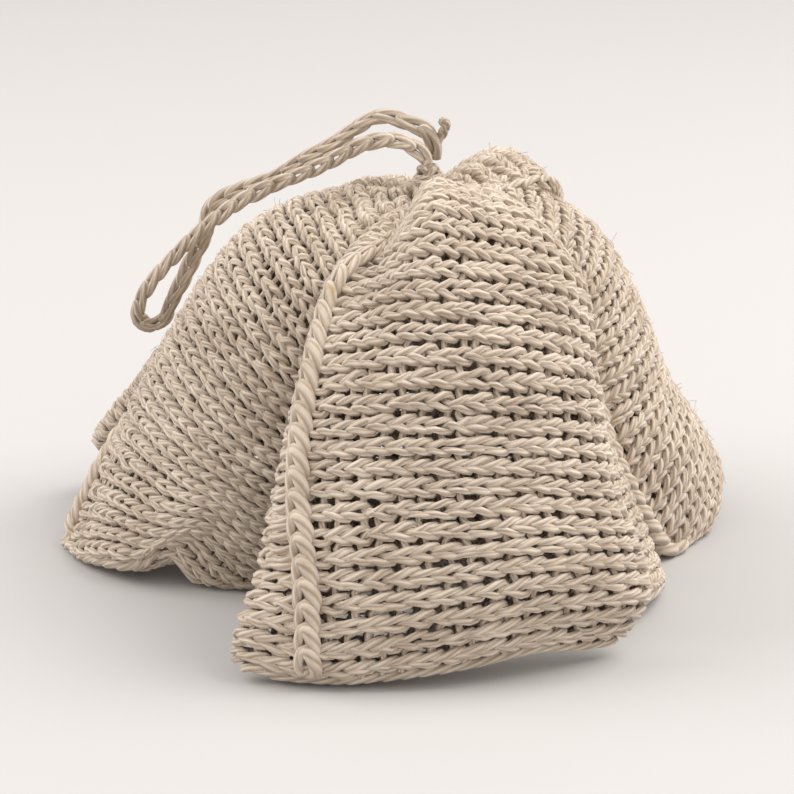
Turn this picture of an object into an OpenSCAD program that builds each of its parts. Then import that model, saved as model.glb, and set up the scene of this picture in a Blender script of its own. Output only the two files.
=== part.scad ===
// Knitted linen body puff: three knitted tubes crossed and tied at their middles,
// so that six slack lobes fan out from one neck and stand on their sewn ends.
// Frame: +Z up, -Y is the front, the origin lies on the floor under the middle of the lobes.

/* [Puff] */
// Height of the tied neck above the floor
neck_h = 90; // [86:1:96]
// How far the longest lobe's centre line reaches out from the neck
reach = 81; // [76:1:86]
// Widest a lobe gets at its sewn end
lobe_w = 92; // [84:1:96]
// Thickness of a slack, air-filled lobe as a share of the designed one
puff = 1; // [0.8:0.05:1.1]
// Where the neck stands, left to right
neck_x = 11.4; // [6:0.1:14]
// Where the neck stands, front to back
neck_y = 3; // [-2:0.1:8]

/* [Seams] */
// Thickness of the crocheted chain along a lobe's side
side_seam_d = 4.6; // [3.5:0.1:5.5]
// Thickness of the rolled seam that closes a lobe's end
end_seam_d = 3.6; // [2.5:0.1:4.5]

/* [Tie] */
// Thickness of the crocheted cord
cord_d = 3.6; // [3.2:0.1:3.8]
// Thickness of the yarn wound round the neck, and of its short end
tie_d = 2.2; // [1.8:0.1:2.4]
// Diameter of the knot that the loop comes out of
knot_d = 7.2; // [6:0.1:8]
// Diameter of the tubes' gathered middles
core_d = 7.8; // [7:0.1:8]
// How high a lobe lifts before its crown meets the knot
lift_max = 25; // [15:1:30]

/* [Hidden] */

LINEN = [0.80, 0.74, 0.65];
LINEN_DARK = [0.71, 0.65, 0.56];

// Hinge circle round the neck, on which every lobe bends
hinge_r = 8.5;
// Radius of the rounded inner end of a lobe, concentric with its hinge
nose_r = 3.5;
// Clear space on each side of a boundary between two lobes
gap = 0.3;
// Extra half width of the groove that the hanging loop lies in, and where it opens
groove = 5.4;
groove_start = 7;
groove_len = 6;
// Half thickness of a lobe where its end is sewn shut
end_t = 3.4;
// Steps between two sections of a lobe, and corners round one
steps = 2;
corners = 20;
// Corners round a bar
bar_sides = 8;
// Height of the knot's centre above the neck
knot_rise = 8;
// Height of one gathered middle
middle_h = 4;

// Lobe settings: direction, sector to the left and right of it, groove on the left and on the
// right (1 or 0), and sections from the neck to the sewn end. A section's values are how far out
// its middle is, how high, how far aside, its half width and half thickness, its turn about the
// upright, its tilt, and how far its edges curl inwards
FRONT = [-90, 43, 38, 0, 0, [
    [17, 91, 6, 20, 9, 0, 0, 5], [34, 84, 6, 30, 12, 0, 0, 6], [50, 66, 4.5, 34, 14, 0, 0, 5],
    [62, 43, 4, 37, 13, 2, 0, 5], [73, 20, 7, 43, 10, 6, 3, 8], [79, 2, 3, 46, end_t, 9, 1, 11]]];
FRONT_RIGHT = [-33, 27, 13, 0, 0, [
    [14, 84, 0, 9, 6, 0, 0, 0], [23, 74, 0, 13, 9, 0, 0, 2], [31, 56, 0, 15, 10, 0, 0, 2],
    [40, 37, -1, 17, 9, 0, 0, 2], [51, 19, -1, 20, 7, 0, 0, 2], [60, 2, -1, 22, end_t, 0, 0, 3]]];
RIGHT = [20, 30, 25, 0, 0, [
    [19, 87, 0, 13, 8, 0, 0, 2], [35, 78, 2, 20, 11, 0, 0, 5], [46, 61, 0, 24, 12, -6, 0, 8],
    [53, 40, -3, 25, 11, -10, 8, 10], [64, 22, -6, 29, 8, -12, 18, 13], [74, 9, -8, 32, end_t, -12, 24, 16]]];
BACK = [68, 31, 17, 0, 0, [
    [20, 90, -3, 14, 8, 0, 0, 2], [38, 81, -2, 24, 12, 0, 0, 3], [52, 60, 0, 28, 13, 0, 0, 4],
    [63, 38, 0, 30, 12, 0, 0, 5], [71, 18, 0, 31, 8, 0, 0, 6], [75, 2, 0, 31, end_t, 0, 0, 6]]];
BACK_LEFT = [127, 25, 26, 1, 0, [
    [20, 88, 0, 14, 7, 0, 0, 2], [37, 79, 0, 24, 11, 0, 0, 3], [52, 61, 1, 29, 12, -2, 4, 4],
    [64, 40, 3, 33, 11, -8, 8, 5], [74, 21, 6, 36, 8, -14, 9, 4], [81, 5, 10, 38, end_t, -18, 8, 3]]];
LEFT = [187, 40, 35, 0, 1, [
    [18, 84, 0, 17, 8, 14, -22, 2], [33, 71, 2, 27, 12, 20, -27, 5], [46, 51, 3, 32, 13, 28, -26, 7],
    [57, 29, 6, 34, 12, 38, -20, 8], [67, 13, 9, 34, 9, 48, -8, 9], [74, 3, 11, 34, end_t, 54, 0, 9]]];

// Route of the hanging loop, measured from the neck's axis and the floor: out along the upper
// strand, folded back under itself, round the tip and home along the lower strand
LOOP_ROUTE = [
    [1, 2, 101.8], [1, 2.6, 104.6], [-1, 3.2, 108], [-5, 4.5, 109.5], [-9, 6.5, 110.5],
    [-13, 8.5, 110], [-18, 11, 106.5], [-24, 14.5, 101.5], [-31, 18, 97], [-38, 22, 91.5],
    [-46, 26.5, 87.5], [-52.5, 30, 83.5], [-55.5, 32.5, 79], [-56, 33.5, 74], [-59.5, 35, 67],
    [-63, 37, 60.5], [-66.5, 38.5, 54], [-68.5, 39.5, 49], [-72, 38.5, 47.5], [-75, 37.5, 51],
    [-72.5, 36, 57], [-68.5, 34, 63], [-63.5, 31, 68.5], [-56.5, 27.5, 74.5], [-47.5, 22.5, 82],
    [-38.5, 17.5, 88], [-30, 13, 93], [-23, 9, 98.5], [-17, 6, 103], [-11.5, 3.5, 105.5],
    [-7, 0.5, 106], [-3.8, -1.8, 105], [-1.6, -2.8, 103.6], [-0.5, -2.6, 101.9]
];
// Level direction across the loop, which hangs out to the left and back
loop_heading = 152;
loop_side = [-sin(loop_heading), cos(loop_heading), 0];
// Route of the short fastened-off end beside the loop
TAIL_ROUTE = [[1.6, 3.4, 104.8], [3.2, 4.2, 107], [4, 3.4, 109.4], [2.8, 2.4, 110.6]];

function sign_of(v) = v < 0 ? -1 : 1;
function rounded(v, power) = sign_of(v) * pow(abs(v), power);
function unit(v) = v / norm(v);
function clamp01(v) = min(1, max(0, v));

// All sections of a lobe, scaled, with its hinge first
function sections(k) = concat(
    [[hinge_r, neck_h, 0, nose_r, nose_r, 0, 0, 0]],
    [for (s = k[5]) [s[0] * reach / 81, s[1] * neck_h / 90, s[2], s[3] * lobe_w / 92, s[4] * puff, s[5], s[6], s[7]]]
);
// Section at t, counted from the hinge, on a smooth curve through them all
function section(all, t) =
    let (
        i = min(floor(t), len(all) - 2),
        f = t - i,
        b = all[i],
        c = all[i + 1],
        a = i == 0 ? 2 * b - c : all[i - 1],
        d = i + 2 == len(all) ? 2 * c - b : all[i + 2]
    )
    0.5 * (2 * b + (c - a) * f + (2 * a - 5 * b + 4 * c - d) * f * f + (3 * b - a - 3 * c + d) * pow(f, 3));
function middle_of(s) = [s[0], s[2], s[1]];
// Direction of the centre line at t: level where it leaves the hinge
function heading(all, t) = t == 0 ? [1, 0, 0]
    : unit(middle_of(section(all, min(t + 0.1, len(all) - 1))) - middle_of(section(all, t - 0.1)));

// Distance from the neck's axis once the lobe is lifted all the way
function lifted(r, z) = hinge_r + (r - hinge_r) * cos(lift_max) - (z - neck_h) * sin(lift_max);
// Sideways limit of a lobe: inside its own sector, at rest and lifted
function side_limit(r, z, sector, grooved) =
    let (near = max(nose_r, min(r, lifted(r, z))))
    near * tan(sector) - (gap + grooved * groove * clamp01((near - groove_start) / groove_len)) / cos(sector);

// A point of a lobe's skin in its own frame: t along it, a round it, back along its centre line,
// out beyond it, with room kept clear at its sides; thick replaces its half thickness
function skin_point(k, t, a, back = 0, thick = undef, out = 0, room = 0) =
    let (
        all = sections(k),
        s = section(all, t),
        ahead = heading(all, t),
        across = [-sin(s[5]) * cos(s[6]), cos(s[5]) * cos(s[6]), sin(s[6])],
        facing = unit(cross(ahead, across)),
        side = rounded(cos(a), 0.8),
        high = rounded(sin(a), 0.9) * (is_undef(thick) ? s[4] : thick) + sign_of(sin(a)) * out - s[7] * side * side,
        p = middle_of(s) + ahead * back + across * side * s[3] + facing * high,
        limit = side_limit(p[0], p[2], k[p[1] > 0 ? 1 : 2], k[p[1] > 0 ? 3 : 4]) - room
    )
    [p[0], max(-limit, min(limit, p[1])), p[2]];
function on_floor(p, lowest = 0) = [p[0], p[1], max(lowest, p[2])];
function placed(k, p) = [
    p[0] * cos(k[0]) - p[1] * sin(k[0]) + neck_x,
    p[0] * sin(k[0]) + p[1] * cos(k[0]) + neck_y,
    p[2]
];

function skin_ring(k, t, back = 0, thick = undef) = [
    for (i = [0:corners - 1]) placed(k, on_floor(skin_point(k, t, i * 360 / corners, back, thick)))
];

// Closes a stack of rings into one solid, with a point in the middle of each end
module ring_stack(rings) {
    n = len(rings[0]);
    last = len(rings) - 1;
    total = n * (last + 1);
    points = concat([for (ring = rings) for (p = ring) p], [centre_of(rings[0]), centre_of(rings[last])]);
    walls = [
        for (j = [0:last - 1]) for (i = [0:n - 1])
            let (a = j * n + i, b = j * n + (i + 1) % n) each [[a, b, b + n], [a, b + n, a + n]]
    ];
    caps = [
        for (i = [0:n - 1]) each [
            [total, (i + 1) % n, i],
            [total + 1, last * n + i, last * n + (i + 1) % n]
        ]
    ];
    polyhedron(points, concat(walls, caps), convexity = 6);
}
function centre_of(ring) = [for (p = ring) 1 / len(ring)] * ring;

// Round bar along a list of points: its rings are square to the route, and level is a
// direction that the route never follows
function bar_ring(route, i, d, level) =
    let (
        ahead = route[min(i + 1, len(route) - 1)],
        behind = route[max(i - 1, 0)],
        along = unit(ahead - behind),
        across = unit(cross(along, level)),
        rise = cross(along, across)
    )
    [
        for (s = [0:bar_sides - 1])
            route[i] + (across * cos(s * 360 / bar_sides) + rise * sin(s * 360 / bar_sides)) * d / 2
    ];

module bar(route, d, level) {
    ring_stack([for (i = [0:len(route) - 1]) bar_ring(route, i, d, level)]);
}

// Direction from one edge of a lobe to the other
function sideways(k) = [-sin(k[0]), cos(k[0]), 0];

module lobe(k) {
    last = len(k[5]);
    nose = [for (a = [18, 45, 70]) skin_ring(k, 0, -nose_r * cos(a), nose_r * sin(a))];
    body = [for (t = [0:1 / steps:last]) skin_ring(k, t)];
    foot = [skin_ring(k, last, end_t * 0.95, end_t * 0.8)];
    color(LINEN) ring_stack([for (ring = concat(nose, body, foot)) [for (i = [corners - 1:-1:0]) ring[i]]]);
}

// Crocheted chain that joins the long edges of a lobe, wandering over its outer face to its edge
module side_seam(k) {
    r = side_seam_d / 2;
    route = [
        for (t = [0.7:0.3:5.8])
            placed(k, on_floor(skin_point(k, t, 126 + 33 * sin(180 * (t - 0.2) / 6.8), out = 0.6 * r, room = r), r))
    ];
    color(LINEN) bar(route, side_seam_d, sideways(k));
}

// Rolled seam that closes the end, from corner to corner along the floor
module end_seam(k) {
    r = end_seam_d / 2;
    route = [
        for (a = [160, 140, 125, 108, 90, 72, 55, 40, 20])
            placed(k, on_floor(skin_point(k, len(k[5]) - 0.1, a, out = 0.7 * r, room = r), r))
    ];
    color(LINEN) bar(route, end_seam_d, [0, 0, 1]);
}

// Gathered middle of one tube, stacked on the others inside the tie
module middle(level) {
    color(LINEN_DARK) translate([neck_x, neck_y, neck_h - 1.5 * middle_h + level * middle_h])
        cylinder(d = core_d, h = middle_h, $fn = 32);
}

// Turns of yarn drawn tight on top of the gathered middles
module tie_wrap() {
    color(LINEN_DARK) translate([neck_x, neck_y, neck_h + 1.5 * middle_h])
        rotate_extrude($fn = 32) translate([core_d / 2 - tie_d / 2, tie_d / 2])
            difference() {
                circle(d = tie_d, $fn = 20);
                translate([-tie_d, -tie_d / 2 - 1]) square([2 * tie_d, 1]);
            }
}

module tie_knot() {
    color(LINEN_DARK) translate([neck_x, neck_y, neck_h + knot_rise]) sphere(d = knot_d, $fn = 32);
}

module hanging_loop() {
    color(LINEN_DARK) translate([neck_x, neck_y, neck_h - 90]) bar(smooth_route(LOOP_ROUTE), cord_d, loop_side);
}

module loop_tail() {
    color(LINEN_DARK) translate([neck_x, neck_y, neck_h - 90]) bar(TAIL_ROUTE, tie_d, loop_side);
}

// One point more between each pair of a route's points, on a smooth curve through them
function smooth_route(r) = [
    for (i = [0:len(r) - 1]) each i == len(r) - 1 ? [r[i]] : [
        r[i],
        (r[i] + r[i + 1]) * 0.5625 - (r[max(i - 1, 0)] + r[min(i + 2, len(r) - 1)]) * 0.0625
    ]
];

middle(0);  // middle_front_back
middle(1);  // middle_left_right
middle(2);  // middle_slanting
tie_wrap();
tie_knot();
lobe(FRONT);  // lobe_front
side_seam(FRONT);  // side_seam_front
end_seam(FRONT);  // end_seam_front
lobe(FRONT_RIGHT);  // lobe_front_right
side_seam(FRONT_RIGHT);  // side_seam_front_right
end_seam(FRONT_RIGHT);  // end_seam_front_right
lobe(RIGHT);  // lobe_right
side_seam(RIGHT);  // side_seam_right
end_seam(RIGHT);  // end_seam_right
lobe(BACK);  // lobe_back
side_seam(BACK);  // side_seam_back
end_seam(BACK);  // end_seam_back
lobe(BACK_LEFT);  // lobe_back_left
side_seam(BACK_LEFT);  // side_seam_back_left
end_seam(BACK_LEFT);  // end_seam_back_left
lobe(LEFT);  // lobe_left
side_seam(LEFT);  // side_seam_left
end_seam(LEFT);  // end_seam_left
hanging_loop();
loop_tail();
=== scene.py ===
# Knitted linen body puff: real yarn run along the courses of six knitted lobes,
# crocheted seams down their sides and ends, and a crocheted hanging loop.
import math
import random

import bmesh
import bpy
import numpy as np
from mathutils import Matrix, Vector


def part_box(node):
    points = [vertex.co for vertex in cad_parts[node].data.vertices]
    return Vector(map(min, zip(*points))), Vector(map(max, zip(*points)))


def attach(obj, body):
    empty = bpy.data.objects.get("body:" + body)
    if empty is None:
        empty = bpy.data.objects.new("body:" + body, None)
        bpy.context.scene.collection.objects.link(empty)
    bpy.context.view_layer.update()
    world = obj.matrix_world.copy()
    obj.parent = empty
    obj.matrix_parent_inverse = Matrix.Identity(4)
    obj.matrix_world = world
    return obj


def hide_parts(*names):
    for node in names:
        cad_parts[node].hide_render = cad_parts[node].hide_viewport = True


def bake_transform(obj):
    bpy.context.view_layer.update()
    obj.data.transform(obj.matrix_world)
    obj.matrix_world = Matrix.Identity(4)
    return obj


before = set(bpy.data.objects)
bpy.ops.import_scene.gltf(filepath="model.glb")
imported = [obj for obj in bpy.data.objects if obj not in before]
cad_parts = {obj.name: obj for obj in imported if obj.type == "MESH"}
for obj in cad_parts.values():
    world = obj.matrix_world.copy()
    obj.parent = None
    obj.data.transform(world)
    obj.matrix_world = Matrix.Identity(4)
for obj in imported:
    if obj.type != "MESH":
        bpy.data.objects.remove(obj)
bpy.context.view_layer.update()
mm = 0.001

# the neck's axis and height, from the knot that sits above it
knotAbove = 8 * mm
knotLow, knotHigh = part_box("tie_knot")
neckX = (knotLow[0] + knotHigh[0]) / 2
neckY = (knotLow[1] + knotHigh[1]) / 2
neckZ = (knotLow[2] + knotHigh[2]) / 2 - knotAbove
neck = Vector((neckX, neckY, neckZ))

random.seed(11)
np.random.seed(11)


# camera
cameraSet = {
    "elevation": 18,                              # degrees above level
    "distance": 0.75,
    "lens": 138.3,
    "sensor": 36,
    "shift": -0.0365,
    "fromNeck": (-7.7 * mm, 3.3 * mm, -42 * mm),  # where it aims
}


def makeCamera(s):
    data = bpy.data.cameras.new("camera")
    data.lens = s["lens"]
    data.sensor_width = s["sensor"]
    data.clip_start = 0.01
    data.dof.use_dof = False
    camera = bpy.data.objects.new("camera", data)
    bpy.context.collection.objects.link(camera)
    data.shift_y = s["shift"]
    aim = neck + Vector(s["fromNeck"])
    tilt = math.radians(s["elevation"])
    camera.location = aim + s["distance"] * Vector((0, -math.cos(tilt), math.sin(tilt)))
    camera.rotation_euler = (math.radians(90) - tilt, 0, 0)
    bpy.context.scene.camera = camera


makeCamera(cameraSet)
print("camera set")


# yarn materials
linen = {
    "roughness": 0.82, "specular": 0.25, "sheen": 0.3, "sheenRough": 0.5,
    "plies": 4.0,             # round the yarn
    "strands": 2.6,           # fine strands, for each ply
    "strandDrift": 0.35,      # how fast they change along the yarn
    "mix": (0.55, 0.55),      # how far strands and patches shift the colour
    "ramp": (0.34, 0.72),     # where the dark and the light colour are reached
    "patch": 90.0, "slub": 260.0,
    # the groove colour is painted shade for the grooves between the plies
    "groove": (0.52, 0.43, 0.34, 1), "grooveDepth": 0.65,
    "fleck": (0.50, 0.32, 0.12, 1), "fleckFrom": 0.735, "fleckTo": 0.78, "fleckMost": 0.6,
    "bump": 0.9, "bumpHigh": 0.0003, "plyBump": 0.7, "strandBump": 0.5,
}


def linenMaterial(name, light, dark):
    mat = bpy.data.materials.new(name)
    mat.use_nodes = True
    nodes, links = mat.node_tree.nodes, mat.node_tree.links
    shader = nodes["Principled BSDF"]
    shader.inputs["Roughness"].default_value = linen["roughness"]
    shader.inputs["Specular IOR Level"].default_value = linen["specular"]
    shader.inputs["Sheen Weight"].default_value = linen["sheen"]
    shader.inputs["Sheen Roughness"].default_value = linen["sheenRough"]

    uv = nodes.new("ShaderNodeUVMap")
    uv.uv_map = "yarn"
    split = nodes.new("ShaderNodeSeparateXYZ")
    links.new(uv.outputs["UV"], split.inputs[0])

    def maths(kind, a, b=None):
        n = nodes.new("ShaderNodeMath")
        n.operation = kind
        for i, v in enumerate((a, b)):
            if v is None:
                continue
            if isinstance(v, (int, float)):
                n.inputs[i].default_value = v
            else:
                links.new(v, n.inputs[i])
        return n.outputs[0]

    # plies wind round the yarn: U counts along it in turns, V round it
    wound = maths("ADD", split.outputs["X"], maths("MULTIPLY", split.outputs["Y"], linen["plies"]))
    ply = maths("SINE", maths("MULTIPLY", wound, 2 * math.pi))
    plyHeight = maths("MULTIPLY_ADD", ply, 0.5)
    plyHeight.node.inputs[2].default_value = 0.5

    # fine strands inside a ply lie along the same helix
    position = nodes.new("ShaderNodeTexCoord")
    strands = nodes.new("ShaderNodeCombineXYZ")
    links.new(maths("MULTIPLY", wound, linen["strands"]), strands.inputs["X"])
    links.new(maths("MULTIPLY", split.outputs["X"], linen["strandDrift"]), strands.inputs["Y"])
    fibre = nodes.new("ShaderNodeTexNoise")
    fibre.inputs["Scale"].default_value = 1.0
    fibre.inputs["Detail"].default_value = 4.0
    links.new(strands.outputs[0], fibre.inputs["Vector"])

    patch = nodes.new("ShaderNodeTexNoise")
    patch.inputs["Scale"].default_value = linen["patch"]
    patch.inputs["Detail"].default_value = 4.0
    patch.inputs["Roughness"].default_value = 0.6
    links.new(position.outputs["Object"], patch.inputs["Vector"])

    slub = nodes.new("ShaderNodeTexNoise")
    slub.inputs["Scale"].default_value = linen["slub"]
    slub.inputs["Detail"].default_value = 2.0
    links.new(position.outputs["Object"], slub.inputs["Vector"])

    mixValue = maths("MULTIPLY_ADD", fibre.outputs["Fac"], linen["mix"][0])
    links.new(maths("MULTIPLY", patch.outputs["Fac"], linen["mix"][1]), mixValue.node.inputs[2])
    ramp = nodes.new("ShaderNodeValToRGB")
    for i, colour in enumerate((dark, light)):
        ramp.color_ramp.elements[i].position = linen["ramp"][i]
        ramp.color_ramp.elements[i].color = (*colour, 1)
    links.new(mixValue, ramp.inputs["Fac"])

    # painted shade: grooves between the plies hold less light, so their colour is darkened
    groove = nodes.new("ShaderNodeMixRGB")
    groove.blend_type = "MULTIPLY"
    groove.inputs["Color2"].default_value = linen["groove"]
    links.new(ramp.outputs["Color"], groove.inputs["Color1"])
    deep = maths("POWER", maths("SUBTRACT", 1.0, plyHeight), 3.0)
    links.new(maths("MULTIPLY", deep, linen["grooveDepth"]), groove.inputs["Fac"])

    # occasional straw-coloured flecks left in the flax
    fleckFac = nodes.new("ShaderNodeValToRGB")
    for i, (at, most) in enumerate(((linen["fleckFrom"], 0), (linen["fleckTo"], linen["fleckMost"]))):
        fleckFac.color_ramp.elements[i].position = at
        fleckFac.color_ramp.elements[i].color = (most, most, most, 1)
    links.new(slub.outputs["Fac"], fleckFac.inputs["Fac"])
    fleck = nodes.new("ShaderNodeMixRGB")
    fleck.inputs["Color2"].default_value = linen["fleck"]
    links.new(fleckFac.outputs["Color"], fleck.inputs["Fac"])
    links.new(groove.outputs["Color"], fleck.inputs["Color1"])
    links.new(fleck.outputs["Color"], shader.inputs["Base Color"])

    bump = nodes.new("ShaderNodeBump")
    bump.inputs["Strength"].default_value = linen["bump"]
    bump.inputs["Distance"].default_value = linen["bumpHigh"]
    height = maths("MULTIPLY_ADD", plyHeight, linen["plyBump"])
    links.new(maths("MULTIPLY", fibre.outputs["Fac"], linen["strandBump"]), height.node.inputs[2])
    links.new(height, bump.inputs["Height"])
    links.new(bump.outputs["Normal"], shader.inputs["Normal"])
    return mat


knitMat = linenMaterial("knittedLinen", (0.78, 0.68, 0.565), (0.42, 0.325, 0.24))
seamMat = linenMaterial("crochetSeam", (0.77, 0.67, 0.555), (0.42, 0.325, 0.24))
cordMat = linenMaterial("crochetCord", (0.72, 0.612, 0.495), (0.345, 0.268, 0.195))
print("materials made")


# yarn from a list of centre lines
def yarnObject(name, lines, radius, sides, mat, turnLength, cyclic=False):
    # lines: arrays of n x 4, place and thickness factor; one smooth tube each
    curve = bpy.data.curves.new(name, "CURVE")
    curve.dimensions = "3D"
    curve.bevel_depth = radius
    curve.bevel_resolution = (sides - 4) // 2
    curve.use_fill_caps = not cyclic
    for line in lines:
        spline = curve.splines.new("POLY")
        spline.points.add(len(line) - 1)
        places = np.ones((len(line), 4))
        places[:, :3] = line[:, :3]
        spline.points.foreach_set("co", places.ravel())
        spline.points.foreach_set("radius", line[:, 3].copy())
        spline.use_cyclic_u = cyclic
        spline.use_smooth = True
    temp = bpy.data.objects.new(name + "_line", curve)
    bpy.context.collection.objects.link(temp)
    depsgraph = bpy.context.evaluated_depsgraph_get()
    mesh = bpy.data.meshes.new_from_object(temp.evaluated_get(depsgraph))
    bpy.data.objects.remove(temp)
    bpy.data.curves.remove(curve)
    mesh.name = name
    obj = bpy.data.objects.new(name, mesh)
    bpy.context.collection.objects.link(obj)
    scaleTwist(mesh, lines, sides, turnLength)
    mesh.materials.clear()
    mesh.materials.append(mat)
    mesh.polygons.foreach_set("use_smooth", np.ones(len(mesh.polygons), dtype=bool))
    return obj


def mixed(a, b, t):
    return a + (b - a) * t


def lineLength(line):
    return float(np.linalg.norm(np.diff(line[:, :3], axis=0), axis=1).sum())


def scaleTwist(mesh, lines, sides, turnLength):
    # the curve's own UV runs 0 to 1 along each tube, so it is stretched to whole turns of twist
    layer = mesh.uv_layers.active
    layer.name = "yarn"
    uv = np.zeros(len(mesh.loops) * 2)
    layer.data.foreach_get("uv", uv)
    uv = uv.reshape(-1, 2)
    turns = max(1, round(lineLength(lines[0]) / turnLength))
    uv[:, 0] *= turns
    layer.data.foreach_set("uv", uv.ravel())


# the skin of a lobe, as a grid of places
stitch = {
    "wales": 27,           # ribs from the neck to the end
    "courses": 38,         # stitches round a tube
    "reach": 0.86,         # how far a loop reaches past its own course, in courses
    "lean": 0.238,         # how far a loop's legs lean, in ribs
    "squeeze": 0.095,      # how far they draw together, in ribs
    "depth": 0.85 * mm,    # how far heads sit behind legs
    "radius": 0.93 * mm,   # of the yarn
    "steps": 13,           # points to a loop
    "turn": 4.6 * mm,      # length of yarn in which one strand takes its neighbour's place
    "lowest": 1.05 * mm,   # the lowest a yarn's centre may lie
    # how unevenly each is drawn: shares, or courses and stitches for slip and drift
    "uneven": {"reach": 0.08, "lean": 0.16, "squeeze": 0.3, "depth": 0.12, "slip": 0.09, "drift": 0.07,
               "slub": 0.07, "course": 0.03},
}
fuzz = {
    "share": 0.055,        # for each point of the yarn
    "length": (0.8, 2.6),  # in millimetres
    "thick": 0.045,        # of the yarn's radius
    "wander": 0.3,
    "lowest": 0.3 * mm,
}
cloth = {
    "rows": 121, "columns": 241,
    "below": 90 * mm,      # the sections' heights count from this far under the neck
    # the yarn stands outside the skin, so the skin is drawn in: at most, and as a share
    "drawnIn": (1.4 * mm, 0.2), "drawnThin": (1.3 * mm, 0.25),
    "corner": (0.9, 0.11),  # where along the lobe its corners start to round, and by what share
    "hemFrom": 0.55,       # where along the lobe a hem starts to lift
    "square": (0.8, 0.9),  # powers that square the section, across and through
    "dents": 6, "dentHigh": 0.35,
    "pleats": 6, "pleatHigh": 1.7 * mm, "pleatFade": 6,
    "floor": 1.4, "soft": 2.0,  # lowest place and softness of the rest on the floor, in millimetres
}

# sections from the neck to the sewn end, in millimetres and degrees:
# out, up, aside, half width, half thickness, yaw, tip, curl
# folds: where along, where round, how long, how wide, how deep
# hems: where across the end, how wide, how high it lifts off the floor
lobeShapes = {
    "front": {"heading": -90, "seed": 1, "wave": 0.9, "sections": [
        (4, 90, 1, 7, 5, 0, 0, 0),
        (17, 91, 6, 20, 9, 0, 0, 5),
        (34, 84, 6, 30, 12, 0, 0, 6),
        (50, 66, 4.5, 34, 14, 0, 0, 5),
        (62, 43, 3.5, 39, 13, 2, 0, 5),
        (73, 20, 5, 46, 10, 6, 3, 8),
        (79.5, 4.5, 1, 51, 3.4, 9, 5, 11)],
        "hems": [(0.5, 0.25, 1.5), (-1.0, 0.25, 7)],
        "folds": [(0.18, 125, 0.16, 15, -7.5), (0.22, 98, 0.16, 12, 3)]},
    "front_right": {"heading": -33, "seed": 2, "wave": 0.8, "sections": [
        (4, 89, 0, 5, 4, 0, 0, 0),
        (13, 84, 0, 9, 6, 0, 0, 0),
        (23, 74, 0, 13, 9, 0, 0, 2),
        (31, 56, -1, 14, 10, 0, 0, 2),
        (41, 37, -3, 15, 9, 0, 0, 3),
        (53, 19, -5, 17, 7, 0, 0, 4),
        (64, 5, -6, 19, 3, 0, 2, 6)]},
    "right": {"heading": 20, "seed": 3, "wave": 1.3, "seamShift": 0.11, "sections": [
        (4, 89, 0, 5, 4, 0, 0, 0),
        (19, 85, 0, 13, 8, 0, 0, 2),
        (34, 75, 2, 20, 11, 0, 0, 5),
        (44, 58, 0, 23, 12, -6, 0, 8),
        (52, 39, -3, 25, 11, -10, 8, 10),
        (66, 23, -2, 28, 8, -12, 20, 13),
        (78, 12, 1, 28, 3, -12, 30, 14)]},
    "back": {"heading": 68, "seed": 4, "wave": 1.4, "sections": [
        (4, 89, 0, 5, 4, 0, 0, 0),
        (20, 91, -11, 11, 8, 0, 0, 2),
        (38, 81, -2, 18, 12, 0, 0, 3),
        (52, 60, 4, 23, 13, 0, 0, 4),
        (63, 38, 3, 27, 12, 0, 0, 5),
        (71, 18, 0, 31, 8, 0, 0, 6),
        (76, 4.5, 0, 31, 3, 0, 0, 6)],
        "hems": [(-0.2, 0.35, 6)]},
    "back_left": {"heading": 127, "seed": 5, "wave": 1.4, "sections": [
        (4, 89, 0, 5, 4, 0, 0, 0),
        (20, 87, 0, 11, 7, 0, 0, 2),
        (37, 74, 0, 22, 11, 0, 0, 3),
        (52, 58, 1, 29, 12, -2, 4, 4),
        (64, 40, 3, 33, 11, -8, 8, 5),
        (74, 20, 6, 36, 8, -14, 11, 4),
        (82, 7, 10, 38, 3.6, -18, 12, 3)],
        "hems": [(-0.1, 0.3, 5)]},
    "left": {"heading": 187, "seed": 6, "wave": 1.0, "seamShift": 0.1, "yarn": 0.9, "sections": [
        (4, 88, 0, 7, 5, 0, 0, 0),
        (18, 84, 0, 17, 8, 14, -22, 2),
        (33, 71, 2, 27, 12, 20, -27, 5),
        (45, 51, 3, 31, 12, 28, -26, 7),
        (56, 29, 4, 32, 11, 38, -20, 8),
        (66, 13, 7, 31, 8.5, 48, -8, 12),
        (76, 4.5, 8, 29, 3.4, 52, 0, 15)],
        "hems": [(0.5, 0.22, 8)]},
}


def evenly(places, count):
    # walks a line of places at equal steps
    step = np.linalg.norm(np.diff(places[:, :3], axis=0), axis=1)
    walked = np.concatenate([[0], np.cumsum(step)])
    at = np.linspace(0, walked[-1], count)
    return np.stack([np.interp(at, walked, column) for column in places.T], axis=1)


def rounded(places, count):
    # smooth curve through the places, walked at equal steps
    p = np.vstack([2 * places[0] - places[1], places, 2 * places[-1] - places[-2]])
    t = np.linspace(0, 1, 12, endpoint=False)[:, None]
    out = []
    for i in range(1, len(p) - 2):
        out.append(0.5 * (2 * p[i] + (p[i + 1] - p[i - 1]) * t
                          + (2 * p[i - 1] - 5 * p[i] + 4 * p[i + 1] - p[i + 2]) * t ** 2
                          + (3 * p[i] - p[i - 1] - 3 * p[i + 1] + p[i + 2]) * t ** 3))
    out.append(places[-1:])
    return evenly(np.vstack(out), count)


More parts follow.
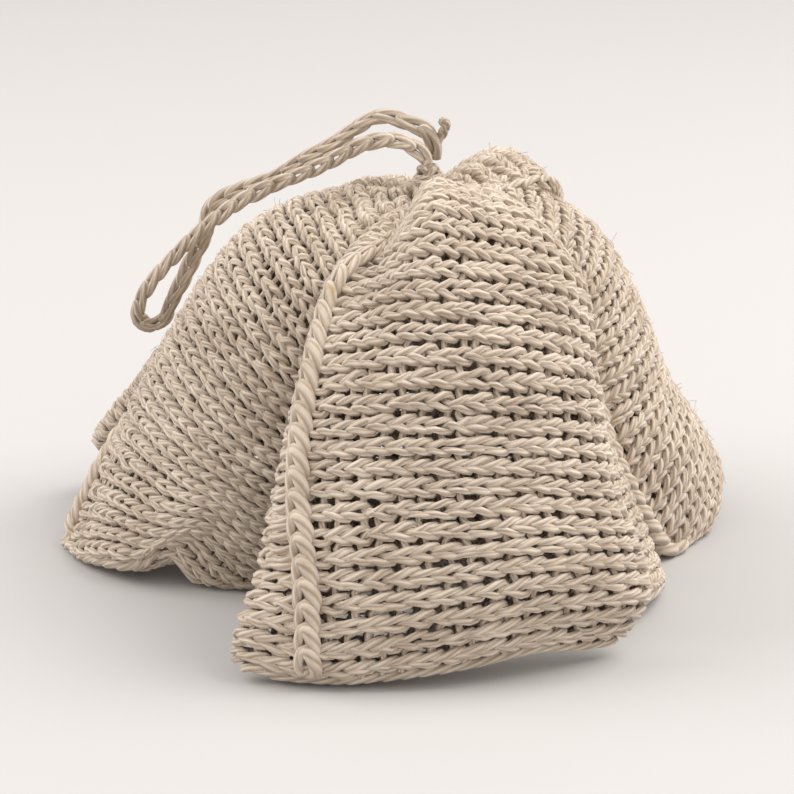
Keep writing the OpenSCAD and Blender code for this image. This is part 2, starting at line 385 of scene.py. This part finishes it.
def lobeSkin(s):
    rows, columns = cloth["rows"], cloth["columns"]
    keys = rounded(np.array(s["sections"], dtype=float), rows)
    keys[:, [0, 1, 2, 3, 4, 7]] *= mm
    turn = math.radians(s["heading"])
    outward = np.array([math.cos(turn), math.sin(turn), 0])
    sideways = np.array([-math.sin(turn), math.cos(turn), 0])
    upward = np.array([0, 0, 1.0])
    centre = keys[:, 0:1] * outward + keys[:, 2:3] * sideways + keys[:, 1:2] * upward
    centre += np.array([neckX, neckY, neckZ - cloth["below"]])
    along = np.gradient(centre, axis=0)
    along /= np.linalg.norm(along, axis=1)[:, None]
    rng = np.random.RandomState(s["seed"])
    # waves along, waves round, place and height of each dent
    dents = [(rng.uniform(1.5, 4.5), rng.randint(1, 4), rng.uniform(0, 6.28), rng.uniform(0.5, 1))
             for _ in range(cloth["dents"])]
    a = np.linspace(0, 2 * np.pi, columns * 3)
    side = np.sign(np.cos(a)) * np.abs(np.cos(a)) ** cloth["square"][0]
    up = np.sign(np.sin(a)) * np.abs(np.sin(a)) ** cloth["square"][1]
    facesOut = np.abs(np.sin(a)) ** 0.3 * np.sign(np.sin(a) + 1e-9)
    cornerFrom, cornerShare = cloth["corner"]
    floor, soft = cloth["floor"], cloth["soft"]
    skin = np.zeros((rows, columns, 3))
    for i in range(rows):
        t = i / (rows - 1)
        half, thick, curl = keys[i, 3], keys[i, 4], keys[i, 7]
        half -= min(cloth["drawnIn"][0], cloth["drawnIn"][1] * half)
        thick -= min(cloth["drawnThin"][0], cloth["drawnThin"][1] * thick)
        half *= 1 - cornerShare * max(0, (t - cornerFrom) / (1 - cornerFrom)) ** 2
        yaw, tip = math.radians(keys[i, 5]), math.radians(keys[i, 6])
        level = sideways * math.cos(yaw) - outward * math.sin(yaw)
        across = level * math.cos(tip) + upward * math.sin(tip)
        facing = np.cross(along[i], across)
        facing /= np.linalg.norm(facing)
        lift = thick * up - curl * side ** 2
        for at, where, length, wide, deep in s.get("folds", []):
            near = ((t - at) / length) ** 2 + ((np.degrees(a) - where) / wide) ** 2
            lift = lift + deep * mm * np.exp(-near)
        # slow dents of slack cloth, and gathers that run down from the neck and fade out
        dent = sum(h * np.sin(f * np.pi * t + g * a + p) for f, g, p, h in dents)
        dent = dent * s["wave"] * cloth["dentHigh"] * mm * math.sin(math.pi * t ** 0.8)
        fade = cloth["pleatHigh"] * math.exp(-cloth["pleatFade"] * t)
        pleat = fade * np.cos(cloth["pleats"] * a + s["seed"])
        lift = lift + (dent + pleat) * facesOut
        ring = centre[i] + (half * side)[:, None] * across + lift[:, None] * facing
        for where, wide, high in s.get("hems", []):
            grown = max(0, (t - cloth["hemFrom"]) / (1 - cloth["hemFrom"])) ** 2
            ring[:, 2] += high * mm * np.exp(-((side - where) / wide) ** 2) * grown
        # the floor holds the cloth up softly
        z = ring[:, 2] / mm
        ring[:, 2] = np.where(z < floor + soft, floor + soft * np.exp((z - floor - soft) / soft), z) * mm
        skin[i] = evenly(ring, columns)
    return skin


def skinNormals(skin):
    down = np.gradient(skin, axis=0)
    wrapped = np.concatenate([skin[:, -2:-1], skin, skin[:, 1:2]], axis=1)
    about = (wrapped[:, 2:] - wrapped[:, :-2]) / 2
    normal = np.cross(down, about)
    normal /= np.linalg.norm(normal, axis=2)[:, :, None] + 1e-12
    middle = len(skin) // 2
    inner = skin[middle].mean(axis=0)
    return normal if normal[middle, middle] @ (skin[middle, middle] - inner) > 0 else -normal


def onSkin(grid, t, u):
    # t along 0 to 1, u round 0 to 1 and wrapping
    rows, columns = grid.shape[0] - 1, grid.shape[1] - 1
    r = np.clip(t, 0, 1) * rows
    c = (u % 1.0) * columns
    r0 = np.clip(np.floor(r).astype(int), 0, rows - 1)
    c0 = np.clip(np.floor(c).astype(int), 0, columns - 1)
    fr, fc = (r - r0)[:, None], (c - c0)[:, None]
    return (grid[r0, c0] * (1 - fr) * (1 - fc) + grid[r0 + 1, c0] * fr * (1 - fc)
            + grid[r0, c0 + 1] * (1 - fr) * fc + grid[r0 + 1, c0 + 1] * fr * fc)


def slowNoise(rng, count, every):
    # gentle wander with a knot every so many points
    marks = rng.randn(count // every + 3)
    return np.interp(np.arange(count), np.arange(len(marks)) * every, marks)


def knitLines(skin, normals, seed):
    rng = np.random.RandomState(seed + 50)
    wales, courses, steps = stitch["wales"], stitch["courses"], stitch["steps"]
    uneven = stitch["uneven"]
    lines = []
    count = wales * steps + 1
    k = np.arange(count)
    ribs = np.arange(wales + 1)
    for j in range(courses):
        turn = 2 * np.pi * k / steps
        loop = k // steps
        # every loop is drawn a little differently
        reach, lean, squeeze = [stitch[part] * (1 + uneven[part] * rng.randn(wales + 1))[loop]
                                for part in ("reach", "lean", "squeeze")]
        slip = np.interp(k / steps, ribs, uneven["slip"] * rng.randn(wales + 1))
        drift = np.interp(k / steps, ribs, uneven["drift"] * rng.randn(wales + 1))
        along = (k / steps + drift + lean * np.sin(2 * turn) + squeeze * np.sin(turn)) / wales
        roundPart = (j + 0.5 + slip + reach * np.cos(turn)) / courses
        off = -stitch["depth"] * np.cos(2 * turn) * (1 + uneven["depth"] * rng.randn(wales + 1))[loop]
        place = onSkin(skin, along, roundPart)
        normal = onSkin(normals, along, roundPart)
        line = np.ones((count, 4))
        line[:, :3] = place + normal * off[:, None]
        line[:, 2] = np.maximum(line[:, 2], stitch["lowest"])
        line[:, 3] = 1 + uneven["slub"] * slowNoise(rng, count, 9) + uneven["course"] * rng.randn()
        lines.append(line)
    return lines


def fibreLines(lines, seed):
    # loose fibre ends that stand off the yarn
    rng = np.random.RandomState(seed + 90)
    out = []
    for line in lines:
        for k in np.nonzero(rng.rand(len(line) - 4) < fuzz["share"])[0]:
            a, b = line[k, :3], line[k + 2, :3]
            ahead = (b - a) / (np.linalg.norm(b - a) + 1e-12)
            away = np.cross(ahead, rng.randn(3))
            away /= np.linalg.norm(away) + 1e-12
            root = a + away * stitch["radius"] * 0.8
            length = rng.uniform(*fuzz["length"]) * mm
            s = np.linspace(0, 1, 4)[:, None]
            bend = ahead * rng.uniform(-1, 1) + rng.randn(3) * fuzz["wander"]
            hair = np.ones((4, 4))
            hair[:, :3] = root + (away * s + bend * s * s) * length
            hair[:, 2] = np.maximum(hair[:, 2], fuzz["lowest"])
            hair[:, 3] = fuzz["thick"]
            out.append(hair)
    return out


def knitLobe(name, s):
    skin = lobeSkin(s)
    normals = skinNormals(skin)
    lines = knitLines(skin, normals, s["seed"])
    radius = stitch["radius"] * s.get("yarn", 1)
    obj = yarnObject("lobe_%s_knit" % name, lines, radius, 6, knitMat, stitch["turn"])
    hairs = fibreLines(lines, s["seed"])
    joinTo(obj, yarnObject("lobe_%s_fuzz" % name, hairs, stitch["radius"], 4, knitMat, stitch["turn"]))
    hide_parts("lobe_%s" % name)
    return obj, skin, normals


# crocheted chains
# width, pitch and lift of a link; tall, its half length in pitches; fat, how much plumper one leg is;
# steps, points to a link; yarn, the yarn's radius
chainFloor = 1.8 * mm  # the lowest a link's yarn may lie
sideSeam = {
    # along the lobe, and share of the way round it
    "places": [(0.0, 0.42), (0.1, 0.455), (0.2, 0.472), (0.35, 0.480), (0.55, 0.475), (0.7, 0.46),
               (0.85, 0.44), (0.985, 0.41)],
    "sizes": [0.5, 0.55, 0.65, 0.85, 1.0, 1.0, 1.0, 1.0, 0.95],  # from the neck to the end
    "width": 2.2 * mm, "pitch": 5.0 * mm, "yarn": 1.5 * mm, "lift": 1.1 * mm,
    "tall": 0.68, "fat": 0.17, "steps": 16,
    "proud": 1.7 * mm,     # how far the chain stands off the skin
    "points": 80,          # places along the seam
    "rungEvery": 2.3 * mm, "rungYarn": 1.0 * mm, "rungLowest": 1.1 * mm,
    "rungPoints": 9,
    "rungFirst": 3, "rungLast": 0.84,  # the first one's number, and the share of the seam they cover
    "rungReach": (0.036, 0.046),       # how far one reaches, as a share of the way round
}
endSeam = {"width": 1.35 * mm, "pitch": 4.2 * mm, "yarn": 1.0 * mm, "lift": 0.7 * mm,
           "tall": 0.9, "fat": 0.0, "steps": 16, "points": 60, "past": 0.4 * mm, "lowest": 1.9 * mm}


def chainLinks(path, normals, s, sizes=(1.0, 1.0)):
    # nested teardrop loops along a path, like the links of a crocheted chain
    steps, fat = s["steps"], s["fat"]
    perPitch = 12
    count = max(3, int(round(lineLength(path) / s["pitch"])))
    fine = evenly(np.concatenate([path, normals], axis=1), count * perPitch + 1)
    up = fine[:, 3:6]
    fine = fine[:, :3]
    along = np.gradient(fine, axis=0)
    along /= np.linalg.norm(along, axis=1)[:, None] + 1e-12
    across = np.cross(along, up)
    across /= np.linalg.norm(across, axis=1)[:, None] + 1e-12
    up = np.cross(across, along)
    links = []
    for n in range(count):
        a = np.linspace(0, 2 * np.pi, steps + 1)[:-1]
        size = float(np.interp((n + 0.5) / count, np.linspace(0, 1, len(sizes)), sizes))
        at = np.clip((n + 0.5 + s["tall"] * np.cos(a)) * perPitch, 0, len(fine) - 1)
        i0 = np.clip(np.floor(at).astype(int), 0, len(fine) - 2)
        f = (at - i0)[:, None]
        place = fine[i0] * (1 - f) + fine[i0 + 1] * f
        wide = s["width"] * size * np.sin(a) * (0.85 - 0.3 * np.cos(a)) * random.uniform(0.9, 1.1)
        high = s["lift"] * size * (np.cos(a) + fat * np.sin(a))
        line = np.ones((steps, 4))
        line[:, :3] = place + across[i0] * wide[:, None] + up[i0] * high[:, None]
        line[:, 2] = np.maximum(line[:, 2], chainFloor)
        line[:, 3] = size * random.uniform(0.94, 1.06) * (1 + fat * np.sin(a))
        links.append(line)
    return links


def sideSeamPiece(name, skin, normals, s):
    places = np.array(sideSeam["places"])
    t = np.linspace(places[0, 0], places[-1, 0], sideSeam["points"])
    u = np.interp(t, places[:, 0], places[:, 1]) + s.get("seamShift", 0)
    u = np.convolve(np.pad(u, 4, mode="edge"), np.ones(9) / 9, "valid")
    normal = onSkin(normals, t, u)
    place = onSkin(skin, t, u) + normal * sideSeam["proud"]
    # it was worked from the sewn end up to the neck, with one plump leg to each link
    links = chainLinks(place[::-1], normal[::-1], sideSeam, sideSeam["sizes"][::-1])
    obj = yarnObject("side_seam_%s_chain" % name, links, sideSeam["yarn"], 6, seamMat, stitch["turn"],
                     cyclic=True)
    # short strands hold the edge beside the chain
    rungs = []
    count = int(lineLength(place) / sideSeam["rungEvery"])
    for n in range(sideSeam["rungFirst"], int(sideSeam["rungLast"] * count)):
        at = (n + 0.5 + random.uniform(-0.1, 0.1)) / count
        size = float(np.interp(at, np.linspace(0, 1, len(sideSeam["sizes"])), sideSeam["sizes"]))
        w = np.linspace(0, 1, sideSeam["rungPoints"])
        sway = random.uniform(0.002, 0.012) * np.sin(w * 3.0) + random.uniform(-0.004, 0.004)
        way = mixed(places[0, 0], places[-1, 0], at) + sway
        start = np.interp(at, np.linspace(0, 1, len(u)), u)
        about = start + (0.004 + random.uniform(*sideSeam["rungReach"]) * w) * size
        bump = (1.2 * np.sin(np.pi * w ** 0.8) + 0.2) * mm
        line = np.ones((len(w), 4))
        line[:, :3] = onSkin(skin, way, about) + onSkin(normals, way, about) * bump[:, None]
        line[:, 2] = np.maximum(line[:, 2], sideSeam["rungLowest"])
        line[:, 3] = mixed(0.8, 1.0, size)
        rungs.append(line)
    edge = yarnObject("side_rungs_%s" % name, rungs, sideSeam["rungYarn"], 6, seamMat, stitch["turn"])
    joinTo(obj, edge)
    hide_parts("side_seam_%s" % name)
    return obj


def joinTo(obj, other):
    bm = bmesh.new()
    bm.from_mesh(obj.data)
    bm.from_mesh(other.data)
    bm.to_mesh(obj.data)
    bm.free()
    mesh = other.data
    bpy.data.objects.remove(other)
    bpy.data.meshes.remove(mesh)


def endSeamPiece(name, skin):
    u = np.linspace(0.01, 0.49, endSeam["points"])
    last = np.ones(len(u))
    outer = onSkin(skin, last, u)
    inner = onSkin(skin, last, (1.0 - u) % 1.0)
    before = onSkin(skin, 0.97 * last, u)
    past = outer - before
    past /= np.linalg.norm(past, axis=1)[:, None]
    place = (outer + inner) / 2 + past * endSeam["past"]
    place[:, 2] = np.maximum(place[:, 2], endSeam["lowest"])
    links = chainLinks(place, past, endSeam)
    obj = yarnObject("end_seam_%s_chain" % name, links, endSeam["yarn"], 6, seamMat, stitch["turn"],
                     cyclic=True)
    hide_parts("end_seam_%s" % name)
    return obj


# the hanging loop: its route in millimetres, from the neck's axis and the floor
loopRoute = [
    (1, 2, 101.8), (1, 2.6, 104.6), (-1, 3.2, 108), (-5, 4.5, 109.5), (-9, 6.5, 110.5),
    (-13, 8.5, 110), (-18, 11, 106.5), (-24, 14.5, 101.5), (-31, 18, 97), (-38, 22, 91.5),
    (-46, 26.5, 87.5), (-52.5, 30, 83.5), (-55.5, 32.5, 79), (-56, 33.5, 74), (-59.5, 35, 67),
    (-62.5, 37, 60.5), (-65.5, 38.5, 54.5), (-67.5, 39.3, 49.8), (-71, 38.8, 48), (-74.2, 37.6, 51),
    (-72.3, 35.8, 57.5), (-67.3, 33.8, 64.5), (-61.3, 30.8, 71.5), (-54, 26.5, 79), (-46, 21.5, 86),
    (-38, 17, 91), (-30, 13, 95.2), (-23, 9, 99.5), (-17, 6, 103.5), (-11.5, 3.5, 105.5),
    (-7, 0.5, 106), (-3.8, -1.8, 105), (-1.6, -2.8, 103.6), (-0.5, -2.6, 101.9),
]
tailRoute = [(1.6, 3.4, 104.8), (3.2, 4.2, 107), (4, 3.4, 109.4), (2.8, 2.4, 110.6)]
cord = {"thick": 3.6 * mm, "width": 1.3 * mm, "pitch": 6.2 * mm, "yarn": 1.0 * mm, "lift": 0.75 * mm,
        "tall": 0.76, "fat": 0.0, "steps": 22}
tail = {"width": 0.6 * mm, "pitch": 2.8 * mm, "yarn": 0.75 * mm, "lift": 0.4 * mm,
        "tall": 0.76, "fat": 0.0, "steps": 22}
# how far and how often the chain turns about itself, between facing up and facing aside
twist = {"swing": 0.4, "often": 13, "up": (-0.42, -0.79, 0.45), "side": (-0.3, 0.6, 0.75)}


def routePlaces(route):
    return np.array([(x * mm + neckX, y * mm + neckY, z * mm) for x, y, z in route])


def cordTwist(places):
    # the chain turns slowly about itself on its way
    way = np.linspace(0, 1, len(places))
    turn = twist["swing"] * np.sin(way * twist["often"])
    return np.cos(turn)[:, None] * np.array(twist["up"]) + np.sin(turn)[:, None] * np.array(twist["side"])


def cordPiece(name, route, node, count, s):
    places = rounded(routePlaces(route), count)
    links = chainLinks(places, cordTwist(places), s)
    obj = yarnObject(name, links, s["yarn"], 6, cordMat, stitch["turn"], cyclic=True)
    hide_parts(node)
    return obj, places


tailObj = cordPiece("loop_tail_chain", tailRoute, "loop_tail", 40, tail)[0]
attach(tailObj, "loop")
loopObj, loopPlaces = cordPiece("hanging_loop_chain", loopRoute, "hanging_loop", 400, cord)
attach(loopObj, "loop")
print("loop length", round(lineLength(loopPlaces), 4))

# knitted lobes and their seams
for name, s in lobeShapes.items():
    lobe, skin, normals = knitLobe(name, s)
    for piece in (lobe, sideSeamPiece(name, skin, normals, s), endSeamPiece(name, skin)):
        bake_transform(piece)
    print("knitted", name, len(lobe.data.polygons))


# the tie: gathered middles, turns of cord and the knot
bunch = {"strands": 10, "points": 10, "radius": 3.0, "bulge": 0.3, "lean": 0.6, "inset": 0.5 * mm,
         "yarn": 0.95 * mm}


def bunchPiece(level, node):
    low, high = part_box(node)
    points = bunch["points"]
    way = np.linspace(0, 1, points)
    lines = []
    for k in range(bunch["strands"]):
        a = 2 * math.pi * k / bunch["strands"] + level + bunch["lean"] * way
        r = (bunch["radius"] + bunch["bulge"] * np.sin(3 * way + k)) * mm
        line = np.ones((points, 4))
        line[:, 0] = neckX + r * np.cos(a)
        line[:, 1] = neckY + r * np.sin(a)
        line[:, 2] = np.linspace(low[2] + bunch["inset"], high[2] - bunch["inset"], points)
        lines.append(line)
    obj = yarnObject(node + "_gathers", lines, bunch["yarn"], 6, knitMat, stitch["turn"])
    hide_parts(node)
    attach(obj, "neck")


for level, node in enumerate(("middle_front_back", "middle_left_right", "middle_slanting")):
    bunchPiece(level, node)


# radii and heights in millimetres; twist is the length of one turn of the plies
tie = {"turns": 3, "radius": 3.0, "second": 0.5, "first": 0.3, "rise": 0.7,
       "yarn": 0.6 * mm, "twist": 2.0 * mm}
knot = {"size": 0.85 * mm, "high": 1.6 * mm, "beside": 0.22, "yarn": 0.75 * mm, "twist": 2.0 * mm}


def wrapPiece():
    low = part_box("tie_wrap")[0]
    a = np.linspace(0, 2 * np.pi, 32, endpoint=False)
    lines = []
    for turnNo in range(tie["turns"]):
        line = np.ones((len(a), 4))
        r = (tie["radius"] + tie["second"] * (turnNo % 2)) * mm
        line[:, 0] = neckX + r * np.cos(a)
        line[:, 1] = neckY + r * np.sin(a)
        line[:, 2] = low[2] + (tie["first"] * (1 + np.sin(a + turnNo)) + tie["rise"] * turnNo) * mm
        lines.append(line)
    obj = yarnObject("tie_wrap_turns", lines, tie["yarn"], 6, cordMat, tie["twist"], cyclic=True)
    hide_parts("tie_wrap")
    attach(obj, "neck")


def knotPiece():
    # a trefoil of doubled cord, drawn tight
    low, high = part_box("tie_knot")
    centre = (np.array(low) + np.array(high)) / 2
    lines = []
    for shift in (0.0, knot["beside"]):
        a = np.linspace(0, 2 * np.pi, 96, endpoint=False) + shift
        line = np.ones((len(a), 4))
        line[:, 0] = centre[0] + (np.sin(a) + 2 * np.sin(2 * a)) * knot["size"]
        line[:, 1] = centre[1] + (np.cos(a) - 2 * np.cos(2 * a)) * knot["size"]
        line[:, 2] = centre[2] - np.sin(3 * a) * knot["high"]
        lines.append(line)
    obj = yarnObject("tie_knot_cord", lines, knot["yarn"], 6, cordMat, knot["twist"], cyclic=True)
    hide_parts("tie_knot")
    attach(obj, "neck")


wrapPiece()
knotPiece()
print("tie made")


# floor and light
floorSet = {"half": 3.0, "colour": (0.525, 0.508, 0.495, 1), "roughness": 0.9, "specular": 0.1}
worldSet = {"colour": (0.93, 0.915, 0.90, 1), "strength": 0.95}
# place, width, power and colour of each soft lamp
lamps = {
    "rightSoft": ((0.8, 0.1, 1.0), 1.0, 14.0, (1.0, 0.985, 0.97)),
    "leftSoft": ((-0.9, 0.08, 0.8), 1.0, 8.0, (1.0, 0.99, 0.98)),
}
lampAim = Vector((0, 0, 0.05))


def makeFloor(s):
    bm = bmesh.new()
    bmesh.ops.create_grid(bm, x_segments=2, y_segments=2, size=s["half"])
    mesh = bpy.data.meshes.new("floor")
    bm.to_mesh(mesh)
    bm.free()
    floor = bpy.data.objects.new("floor", mesh)
    bpy.context.collection.objects.link(floor)
    mat = bpy.data.materials.new("floorPaper")
    mat.use_nodes = True
    shader = mat.node_tree.nodes["Principled BSDF"]
    shader.inputs["Base Color"].default_value = s["colour"]
    shader.inputs["Roughness"].default_value = s["roughness"]
    shader.inputs["Specular IOR Level"].default_value = s["specular"]
    mesh.materials.append(mat)


def areaLight(name, place, size, power, colour):
    data = bpy.data.lights.new(name, "AREA")
    data.shape = "DISK"
    data.size = size
    data.energy = power
    data.color = colour
    light = bpy.data.objects.new(name, data)
    bpy.context.collection.objects.link(light)
    light.location = place
    aim = lampAim - Vector(place)
    light.rotation_euler = aim.to_track_quat("-Z", "Y").to_euler()


def makeWorld(s):
    world = bpy.data.worlds.new("studio")
    world.use_nodes = True
    background = world.node_tree.nodes["Background"]
    background.inputs["Color"].default_value = s["colour"]
    background.inputs["Strength"].default_value = s["strength"]
    bpy.context.scene.world = world


makeFloor(floorSet)
makeWorld(worldSet)
for name, lamp in lamps.items():
    areaLight(name, *lamp)
bpy.context.scene.view_settings.view_transform = "Standard"
print("light set")
